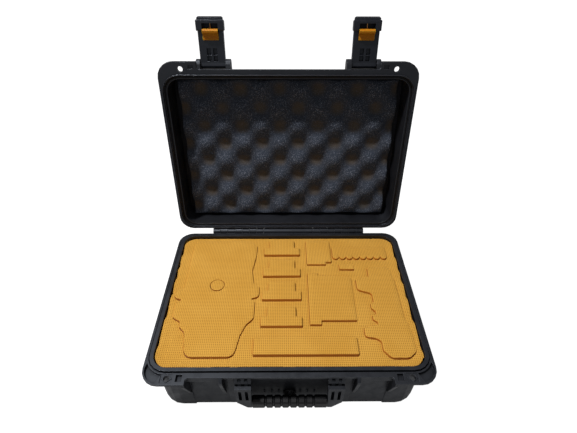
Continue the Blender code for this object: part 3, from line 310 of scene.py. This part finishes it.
def dark_foam(name):
    """Open-cell acoustic foam: bluish grey tips, valleys painted lighter and brown as bounce light from the orange
    foam, bright cell specks.
    """
    graph = Graph(name)
    depth = graph.node("ShaderNodeAttribute", attribute_name="depth").outputs["Fac"]
    cells = graph.cells(PORE_SCALE)
    fine = graph.ramp(graph.noise(FLECK_SCALE, 1.0, 0.5), 0.55, 0.66)
    speck = graph.math("MULTIPLY", fine, graph.ramp(depth, 0.1, 0.9, 1.0, 0.25))
    # Painted bounce light: the valleys are lighter and browner than the tips, lifting their shade
    body = graph.mix(graph.ramp(depth, 0.55, 1.0), LID_TIP, LID_VALLEY_PAINTED_BOUNCE)
    body = graph.mix(graph.math("MULTIPLY", speck, 0.8), body, LID_SPECK)
    body = graph.mix(graph.ramp(cells, 0.0, 0.35, 0.75, 0.0), body, LID_PORE)
    graph.put("Base Color", body)
    graph.put("Roughness", 0.95)
    graph.put("Specular IOR Level", 0.12)
    height = graph.math("ADD", graph.noise(OPEN_CELL_SCALE, 3.0), cells)
    graph.put("Normal", graph.bump(height, 0.8, 0.5 * MM))
    return graph.material


MATERIALS = {
    "case_plastic": moulded_plastic("case_plastic", CASE_BLACK, 0.42),
    "latch_plastic": moulded_plastic("latch_plastic", LATCH_BLACK, 0.36, 0.7, FINE_EDGE),
    "valve_plastic_painted_light": moulded_plastic("valve_plastic_painted_light", VALVE_LIFTED_BLACK, 0.42),
    "grip_rubber": rubber("grip_rubber", RUBBER_BLACK),
    "seal_rubber": rubber("seal_rubber", RUBBER_BLACK),
    "hook_plastic": moulded_plastic("hook_plastic", HOOK_ORANGE, 0.40, 0.4, FINE_EDGE, 0.8, 0.12),
    "guide_metal": metal("guide_metal", GUIDE_COPPER, 0.32),
    "pin_metal": metal("pin_metal", PIN_STEEL, 0.28),
    "insert_foam": orange_foam("insert_foam"),
    "dark_foam": dark_foam("dark_foam"),
}
VALVE_NODES = ("valve_body", "valve_nut", "valve_knob")


def dress(thing, slot):
    """One material on the whole of a piece."""
    thing.data.materials.clear()
    thing.data.materials.append(MATERIALS[slot])


# --------------------------------------------------------------- mesh pieces

TOP_BAND = 0.05 * MM
STRAIGHT = 0.002  # sine of the turn below which a point lies on a straight run
CORNER_REACH = 2.2 * MM
CORNER_SHARE = 0.27
SHARPEST = 0.6  # cosine that limits how far a sharp corner moves when a loop is offset
FAR = 1.0
TINY = 1e-9


def add_piece(name, bm, slot, body, matrix=None, smooth=40.0):
    """A finished piece from a bmesh, riding on a CAD body."""
    bmesh.ops.recalc_face_normals(bm, faces=bm.faces)
    mesh = bpy.data.meshes.new(name)
    bm.to_mesh(mesh)
    bm.free()
    if matrix is not None:
        mesh.transform(matrix)
    thing = bpy.data.objects.new(name, mesh)
    bpy.context.scene.collection.objects.link(thing)
    mesh.shade_smooth()
    mesh.set_sharp_from_angle(angle=math.radians(smooth))
    dress(thing, slot)
    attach(thing, body)
    return thing


def open_edges(mesh):
    """Edges of the flat top that only one of its faces uses, as pairs of rounded points."""
    corners = np.array([vertex.co for vertex in mesh.vertices])
    keys = [tuple(np.round(corner, 5)) for corner in corners]
    top = corners[:, 2].max()
    edges = {}
    for polygon in mesh.polygons:
        around = [keys[i] for i in polygon.vertices]
        if min(point[2] for point in around) < top - TOP_BAND:
            continue
        for a, b in zip(around, around[1:] + around[:1]):
            if (b, a) in edges:
                del edges[(b, a)]
            else:
                edges[(a, b)] = True
    return edges, top


def top_loops(node):
    """Boundary loops of the flat top of a CAD node, longest first, and the top's height."""
    edges, top = open_edges(NODES[node].data)
    following = {a: b for a, b in edges}
    loops = []
    while following:
        start, here = next(iter(following.items()))
        loop = [start[:2]]
        del following[start]
        while here != start:
            loop.append(here[:2])
            here = following.pop(here)
        loops.append(np.array(loop))
    return sorted(loops, key=lambda loop: -abs(area(loop))), top


def area(loop):
    """Signed area of a flat loop."""
    x, y = loop[:, 0], loop[:, 1]
    return 0.5 * float(np.sum(x * np.roll(y, -1) - y * np.roll(x, -1)))


def runs(loop):
    """The steps into and out of each point of a loop."""
    return loop - np.roll(loop, 1, axis=0), np.roll(loop, -1, axis=0) - loop


def tidy_loop(loop):
    """Anticlockwise, without points that lie on a straight run."""
    if area(loop) < 0:
        loop = loop[::-1]
    before, after = runs(loop)
    turn = before[:, 0] * after[:, 1] - before[:, 1] * after[:, 0]
    lengths = np.linalg.norm(before, axis=1) * np.linalg.norm(after, axis=1)
    return loop[np.abs(turn) > STRAIGHT * lengths]


def softened(loop, reach=CORNER_REACH, passes=2):
    """Each corner replaced by two points, so that curves read as curves."""
    for _ in range(passes):
        result = []
        for index in range(len(loop)):
            here = loop[index]
            before = loop[index - 1] - here
            after = loop[(index + 1) % len(loop)] - here
            for step in (before, after):
                length = np.linalg.norm(step)
                result.append(here + step / length * min(reach, CORNER_SHARE * length))
        loop = np.array(result)
        reach *= 0.5
    return loop


def offset(loop, distance):
    """A loop moved outwards by a small distance."""
    before, after = runs(loop)
    before /= np.linalg.norm(before, axis=1)[:, None]
    after /= np.linalg.norm(after, axis=1)[:, None]
    normal = np.stack([before[:, 1] + after[:, 1], -before[:, 0] - after[:, 0]], axis=1)
    normal /= np.maximum(TINY, np.linalg.norm(normal, axis=1))[:, None]
    cosine = np.abs(normal[:, 0] * before[:, 1] - normal[:, 1] * before[:, 0])
    return loop + normal * (distance / np.maximum(SHARPEST, cosine))[:, None]


def inside(points, loop):
    """Which points lie inside a loop."""
    result = np.zeros(len(points), bool)
    x, y = points[:, 0], points[:, 1]
    for (x0, y0), (x1, y1) in zip(loop, np.roll(loop, -1, axis=0)):
        crosses = (y0 > y) != (y1 > y)
        with np.errstate(divide="ignore", invalid="ignore"):
            at = (x1 - x0) * (y - y0) / (y1 - y0) + x0
        result ^= crosses & (x < at)
    return result


def between(points, rims):
    """Which points lie inside the first rim and outside all others."""
    result = inside(points, rims[0])
    for rim in rims[1:]:
        result &= ~inside(points, rim)
    return result


def edge_distance(points, loops):
    """Distance from each point to the nearest edge of the loops."""
    nearest = np.full(len(points), FAR)
    for loop in loops:
        for a, b in zip(loop, np.roll(loop, -1, axis=0)):
            run = b - a
            share = np.clip(((points - a) @ run) / max(TINY ** 2, run @ run), 0, 1)
            away = points - a - share[:, None] * run
            nearest = np.minimum(nearest, np.linalg.norm(away, axis=1))
    return nearest


# ----------------------------------------------------------------- foam slabs

SLAB_PITCH = 7 * MM
SLAB_CLEAR = 0.4 * SLAB_PITCH
SLAB_EDGE = 0.8 * MM
SLAB_LIP = 2 * MM
SLAB_STEP = 7 * MM
MERGE = 1e-7


def ring_pairs(count, start=0):
    """Index pairs of the edges that close a ring of points."""
    return [(start + i, start + (i + 1) % count) for i in range(count)]


def slab_grid(outline, rims):
    """Evenly spaced points of a slab's top, clear of its rims."""
    lo, hi = outline.min(0), outline.max(0)
    xs = np.arange(lo[0] + SLAB_PITCH / 2, hi[0], SLAB_PITCH)
    ys = np.arange(lo[1] + SLAB_PITCH / 2, hi[1], SLAB_PITCH)
    grid = np.array([(x, y) for y in ys for x in xs])
    grid = grid[between(grid, rims)]
    return grid[edge_distance(grid, rims) > SLAB_CLEAR]


def slab_top(bm, rims, grid, height):
    """The meshed upper face; the vertices of each rim come back as rings."""
    starts = [sum(len(rim) for rim in rims[:k]) for k in range(len(rims))]
    points = [Vector(point) for rim in rims for point in rim]
    points += [Vector(point) for point in grid]
    edges = [pair for rim, start in zip(rims, starts) for pair in ring_pairs(len(rim), start)]
    found = geometry.delaunay_2d_cdt(points, edges, [], 0, MERGE)
    flat = np.array([tuple(point) for point in found[0]])
    triangles = np.array([tuple(triangle) for triangle in found[2]])
    triangles = triangles[between(flat[triangles].mean(axis=1), rims)]
    upper = [bm.verts.new((x, y, height(x, y))) for x, y in flat]
    for a, b, c in triangles:
        bm.faces.new((upper[a], upper[b], upper[c]))
    source = {}
    for index, originals in enumerate(found[3]):
        for original in originals:
            source[original] = upper[index]
    return [[source[start + i] for i in range(len(rim))] for rim, start in zip(rims, starts)]


def slab_side(bm, ring, rim, wall, base, low, top, edge):
    """Rounded edge and side below one ring; the lowest ring comes back."""
    rings = [ring]
    for angle in (math.radians(45), math.radians(90)):
        drop = edge * (1 - math.cos(angle))
        places = rim + (wall - rim) * math.sin(angle)
        rings.append([bm.verts.new((x, y, vertex.co.z - drop))
                      for vertex, (x, y) in zip(ring, places)])
    if base is not wall:
        rings.append([bm.verts.new((x, y, top - SLAB_LIP)) for x, y in wall])
        rings.append([bm.verts.new((x, y, top - SLAB_LIP - SLAB_STEP)) for x, y in base])
    rings.append([bm.verts.new((x, y, low)) for x, y in base])
    for upper, lower in zip(rings, rings[1:]):
        for i, j in ring_pairs(len(rim)):
            bm.faces.new((upper[i], upper[j], lower[j], lower[i]))
    return rings[-1]


def slab_bottom(bm, rings):
    """A flat face between the lowest rings."""
    edges = [bm.edges.get((ring[i], ring[j])) for ring in rings
             for i, j in ring_pairs(len(ring))]
    bmesh.ops.triangle_fill(bm, use_beauty=True, edges=edges)


def foam_slab(name, body, outline, holes, low, top, rise, edge=SLAB_EDGE, foot=None):
    """Cut foam with rounded upper edges, an uneven top and, if given, its own foot outline."""
    walls = [outline, *holes]
    feet = [outline if foot is None else foot, *holes]
    rims = [offset(outline, -edge)] + [offset(hole, edge) for hole in holes]
    bm = bmesh.new()
    rings = slab_top(bm, rims, slab_grid(outline, rims), lambda x, y: top + rise(x, y))
    bottoms = [slab_side(bm, *parts, low, top, edge) for parts in zip(rings, rims, walls, feet)]
    slab_bottom(bm, bottoms)
    return add_piece(name, bm, "insert_foam", body)


def swell(x, y, size):
    """Soft unevenness of a foam sheet: a long wave and a shorter one across it."""
    long_wave = math.sin(21 * x + 4 * y + 0.6) * math.sin(17 * y - 6 * x + 1.1)
    short_wave = math.sin(47 * x + 1.7) * math.sin(39 * y + 0.4)
    return size * (long_wave + 0.5 * short_wave)


# ------------------------------------------------------------------ base foam

# Stations along the sheet's sides, in mm, and the pull inwards there, as a share of SIDE_BITE
SIDE_SCALLOPS = (
    (-145, 0.8), (-117, 0.2), (-104, 1.4), (-56, 0.3), (-46, 1.9), (-5, 0.5), (4, 1.6), (32, 0.2),
    (44, 1.7), (63, 0.6), (74, 1.5), (96, 0.3), (108, 1.6), (141, 0.4), (157, 1.2),
)
SIDE_BITE = 1.5 * MM
SIDE_GROWTH = 1.5 * MM
SIDE_BAND = 2 * MM
RIGHT_SHIFT = 9 * MM

# Spans along the front, in mm, where the sheet reaches a little further forward
FRONT_TABS = ((-164, -125), (-92, -82), (-9, 10), (98, 109), (168, 206))
FRONT_BAND = 0.5 * MM
TAB_OUT = 1.3 * MM
TAB_GAP = 0.5 * MM
OUTLINE_STEP = 3 * MM

FOOT_RADIUS = 36 * MM
FOOT_INSET = 1.2 * MM
POCKET_PLAY = 0.45 * MM
FRONT_PLAY = 2.4  # extra play at a pocket's front, as a multiple of POCKET_PLAY
WELL_REACH = 1.0 * MM
CURL_RISE = 2.4 * MM
CURL_REACH = 12 * MM
PLUG_SWELL = 0.25 * MM
SHEET_SWELL = 0.35 * MM
SHEET_EDGE = 0.5 * MM


def side_pull(y):
    """How far the sheet's side is pulled in at a station, in metres."""
    stations = [station * MM for station, _ in SIDE_SCALLOPS]
    pulls = [bites * SIDE_BITE for _, bites in SIDE_SCALLOPS]
    return float(np.interp(y, stations, pulls))


def dense_loop(loop, step):
    """A loop with points added so that none are more than about two steps apart."""
    dense = []
    for a, b in zip(loop, np.roll(loop, -1, axis=0)):
        parts = max(1, int(np.linalg.norm(b - a) / step))
        dense += [a + (b - a) * k / parts for k in range(parts)]
    return dense


def sheet_outline():
    """The insert's rounded outline with uneven sides and small tabs along the front."""
    loops, _ = top_loops("foam_insert")
    loop = tidy_loop(loops[0])
    lo, hi = loop.min(0), loop.max(0)
    result = []
    for x, y in dense_loop(loop, OUTLINE_STEP):
        if x < lo[0] + SIDE_BAND:
            x += side_pull(y) - SIDE_GROWTH
        elif x > hi[0] - SIDE_BAND:
            x -= side_pull(y + RIGHT_SHIFT) - SIDE_GROWTH
        if y < lo[1] + FRONT_BAND:
            tab = any(start * MM <= x <= end * MM for start, end in FRONT_TABS)
            y = lo[1] - TAB_OUT if tab else lo[1] + TAB_GAP
        result.append((x, y))
    return np.array(result)


def swept(loop, low, high):
    """The outline lower down, where the shell's corners are rounder."""
    low_x, high_x = low.x + FOOT_INSET, high.x - FOOT_INSET
    low_y, high_y = low.y + FOOT_INSET, high.y - FOOT_INSET
    result = loop.copy()
    for index, (x, y) in enumerate(loop):
        centre_x = math.copysign(high_x - FOOT_RADIUS, x)
        centre_y = low_y + FOOT_RADIUS if y < 0 else high_y - FOOT_RADIUS
        away = Vector((x - centre_x, y - centre_y))
        past_x = (x - centre_x) * math.copysign(1, x) > 0
        past_y = (y - centre_y) * math.copysign(1, y) > 0
        if past_x and past_y and away.length > FOOT_RADIUS:
            away *= FOOT_RADIUS / away.length
            result[index] = (centre_x + away.x, centre_y + away.y)
        else:
            result[index] = (min(max(x, low_x), high_x), min(max(y, low_y), high_y))
    return result


PLUGS = {
    "plug_drone": "drone_piece", "plug_remote": "remote_piece", "plug_charger": "charger_piece",
    "plug_cable": "cable_piece", "plug_card": "card_piece", "plug_accessory": "accessory_piece",
    "plug_propellers": "propeller_piece", "plug_drone_disc": "drone_disc",
    "plug_battery_1": "battery_piece_1", "plug_battery_2": "battery_piece_2",
    "plug_battery_3": "battery_piece_3", "plug_battery_4": "battery_piece_4",
}


def trench(outline):
    """A pocket a little larger than its piece, most of all at the front."""
    wall = offset(outline, POCKET_PLAY)
    wall[:, 1] += FRONT_PLAY * np.minimum(0.0, wall[:, 1] - outline[:, 1])
    return wall


def side_curl(x, half):
    """The sheet rises a little where its sides press on the shell."""
    return CURL_RISE * max(0.0, (abs(x) - half + CURL_REACH) / CURL_REACH) ** 2


def build_plug(node, body):
    """One cut-out piece with its own wells; its outline comes back."""
    loops, top = top_loops(node)
    outline = softened(tidy_loop(loops[0]))
    wells = [trench(softened(tidy_loop(loop), WELL_REACH, 1)) for loop in loops[1:]]
    low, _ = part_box(node)
    piece = foam_slab(node + "_foam", body, outline, wells, low.z, top,
                      lambda x, y: swell(x, y, PLUG_SWELL))
    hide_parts(node)
    return outline


def build_sheet(pockets):
    """The pocketed sheet, which the shell's rim holds."""
    low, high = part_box("foam_insert")
    outline = sheet_outline()
    sheet = foam_slab("insert_sheet", "base", outline, pockets, low.z, high.z,
                      lambda x, y: swell(x, y, SHEET_SWELL) + side_curl(x, high.x),
                      SHEET_EDGE, swept(outline, low, high))
    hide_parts("foam_insert")


def build_insert_foam():
    """The cut-out pieces and the sheet with a pocket for each; the disc sits in the drone's."""
    outlines = {node: build_plug(node, body) for node, body in PLUGS.items()}
    build_sheet([trench(outline) for node, outline in outlines.items()
                 if node != "plug_drone_disc"])


# ------------------------------------------------------------------- lid foam

# Half periods and phases of the relief, across the lid and away from the hinge
EGG_X = 36.9 * MM
EGG_REACH = 35.7 * MM
EGG_X0 = 20.0 * MM
EGG_REACH0 = 81.8 * MM
EGG_STEP = 2.6 * MM
EGG_SHARE = 0.92
WOBBLE_SHARE = 0.6
FACE_CLEAR = 2 * MM
ROUND_DEPTH = 1.6 * MM
ROUND_REACH = 3 * MM
SIDE_DEPTH = 0.8
EGG_SMOOTH = 60.0


def egg_wave(x, y):
    """Egg-crate relief, 1 at a tip and -1 in a valley."""
    reach = LID_PIVOT.y - y
    across = math.cos(math.pi * (x - EGG_X0) / EGG_X)
    along = math.cos(math.pi * (reach - EGG_REACH0) / EGG_REACH)
    wobble = 0.10 * math.sin(61 * x + 23 * y) + 0.07 * math.sin(97 * y - 31 * x)
    return max(-1.0, min(1.0, across * along * EGG_SHARE + wobble * WOBBLE_SHARE))


def egg_rows(bm, depth, corners):
    """Vertices of the relief, row by row, between the CAD pad's own tips and valleys."""
    lo, hi = corners.min(0), corners.max(0)
    face = corners[corners[:, 2] < hi[2] - FACE_CLEAR][:, 2]
    middle = (face.min() + face.max()) / 2
    swing = (face.max() - face.min()) / 2
    columns = int((hi[0] - lo[0]) / EGG_STEP)
    rows = int((hi[1] - lo[1]) / EGG_STEP)
    grid = []
    for row in range(rows + 1):
        line = []
        for column in range(columns + 1):
            x = lo[0] + (hi[0] - lo[0]) * column / columns
            y = lo[1] + (hi[1] - lo[1]) * row / rows
            wave = egg_wave(x, y)
            edge = min(column, columns - column, row, rows - row) * EGG_STEP
            round_off = ROUND_DEPTH * max(0.0, 1 - edge / ROUND_REACH) ** 2
            vert = bm.verts.new((x, y, middle - swing * wave + round_off))
            vert[depth] = 0.5 - 0.5 * wave
            line.append(vert)
        grid.append(line)
    return grid


def close_pad(bm, depth, grid, back_height):
    """Faces of the relief, the pad's sides and its flat back."""
    for near, far in zip(grid, grid[1:]):
        for column in range(len(near) - 1):
            bm.faces.new((near[column], near[column + 1], far[column + 1], far[column]))
    rim = grid[0] + [line[-1] for line in grid[1:]] + grid[-1][-2::-1]
    rim += [line[0] for line in grid[-2:0:-1]]
    back = []
    for vert in rim:
        made = bm.verts.new((vert.co.x, vert.co.y, back_height))
        made[depth] = SIDE_DEPTH
        back.append(made)
    for i, j in ring_pairs(len(rim)):
        bm.faces.new((rim[i], rim[j], back[j], back[i]))
    bm.faces.new(back)


def build_lid_foam():
    """Egg-crate pad of the lid, drawn closed and turned open with the lid."""
    closed = LID.inverted()
    corners = np.array([closed @ vertex.co for vertex in NODES["lid_foam"].data.vertices])
    bm = bmesh.new()
    depth = bm.verts.layers.float.new("depth")
    grid = egg_rows(bm, depth, corners)
    close_pad(bm, depth, grid, corners[:, 2].max())
    piece = add_piece("egg_crate", bm, "dark_foam", "lid", LID, EGG_SMOOTH)
    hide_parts("lid_foam")


# ---------------------------------------------------------------- scene setup

CAMERA_AT = Vector((-0.0063, -0.4823, 0.7098))
CAMERA_PITCH = math.radians(40.02)
CAMERA_YAW = math.radians(0.57)
CAMERA_ROLL = math.radians(0.25)
CAMERA_LENS = 25.17
CAMERA_SENSOR = 36.0
CAMERA_CLIP = 0.01

# Brightness for camera, glossy and other rays
FLOOR_GLOW = (1.0, 0.24, 0.02)
WORLD_GLOW = (1.0, 0.24, 0.20)
FLOOR_HALF = 6.0
FLOOR_DROP = 0.5 * MM

# Name, place, target, size and power
LIGHTS = (
    ("ceiling", (-0.85, -0.055, 2.3), (0.0, 0.05, 0.1), 0.16, 52.0),
    ("front_fill", (-0.5, -2.2, 1.3), (0.0, 0.1, 0.2), 1.6, 3.0),
)


def build_camera():
    """Camera above and in front of the open case."""
    data = bpy.data.cameras.new("camera")
    data.lens = CAMERA_LENS
    data.sensor_width = CAMERA_SENSOR
    data.clip_start = CAMERA_CLIP
    camera = bpy.data.objects.new("camera", data)
    bpy.context.scene.collection.objects.link(camera)
    turn = Matrix.Rotation(-CAMERA_YAW, 4, "Z")
    turn = turn @ Matrix.Rotation(math.radians(90) - CAMERA_PITCH, 4, "X")
    turn = turn @ Matrix.Rotation(CAMERA_ROLL, 4, "Z")
    camera.matrix_world = Matrix.Translation(CAMERA_AT) @ turn
    bpy.context.scene.camera = camera


def add_area(name, at, target, size, energy):
    """A soft square light aimed at a point."""
    data = bpy.data.lights.new(name, "AREA")
    data.size = size
    data.energy = energy
    light = bpy.data.objects.new(name, data)
    bpy.context.scene.collection.objects.link(light)
    light.location = at
    light.rotation_mode = "QUATERNION"
    light.rotation_quaternion = (Vector(target) - Vector(at)).to_track_quat("-Z", "Y")


def by_ray(tree, camera, glossy, other):
    """A value that depends on what kind of ray arrives."""
    path = tree.nodes.new("ShaderNodeLightPath")
    value = other
    for output, wanted in (("Is Glossy Ray", glossy), ("Is Camera Ray", camera)):
        choice = tree.nodes.new("ShaderNodeMix")
        tree.links.new(path.outputs[output], choice.inputs["Factor"])
        if isinstance(value, bpy.types.NodeSocket):
            tree.links.new(value, choice.inputs["A"])
        else:
            choice.inputs["A"].default_value = value
        choice.inputs["B"].default_value = wanted
        value = choice.outputs["Result"]
    return value


def floor_material():
    """Pale matte floor that glows white towards the camera."""
    material = bpy.data.materials.new("floor")
    material.use_nodes = True
    tree = material.node_tree
    shader = tree.nodes["Principled BSDF"]
    shader.inputs["Base Color"].default_value = FLOOR_COLOUR
    shader.inputs["Roughness"].default_value = 0.9
    shader.inputs["Specular IOR Level"].default_value = 0.0
    shader.inputs["Emission Color"].default_value = WHITE
    tree.links.new(by_ray(tree, *FLOOR_GLOW), shader.inputs["Emission Strength"])
    return material


def build_floor():
    """A large flat floor just under the case."""
    bm = bmesh.new()
    bmesh.ops.create_grid(bm, x_segments=1, y_segments=1, size=FLOOR_HALF)
    mesh = bpy.data.meshes.new("floor")
    bm.to_mesh(mesh)
    bm.free()
    floor = bpy.data.objects.new("floor", mesh)
    bpy.context.scene.collection.objects.link(floor)
    floor.location.z = -FLOOR_DROP
    mesh.materials.append(floor_material())


def build_world():
    """Even white surroundings."""
    world = bpy.data.worlds.new("world")
    bpy.context.scene.world = world
    world.use_nodes = True
    tree = world.node_tree
    background = tree.nodes["Background"]
    background.inputs["Color"].default_value = WHITE
    tree.links.new(by_ray(tree, *WORLD_GLOW), background.inputs["Strength"])


def main():
    """The frame's materials, the soft pieces, the camera, the stage and the lights."""
    for name, thing in NODES.items():
        # The valve parts get the lighter plastic, painted light against their shade
        dress(thing, "valve_plastic_painted_light" if name in VALVE_NODES else SLOT_OF[name])
    build_insert_foam()
    build_lid_foam()
    build_camera()
    build_floor()
    build_world()
    for light in LIGHTS:
        add_area(*light)
    bpy.context.scene.view_settings.view_transform = "Standard"


main()
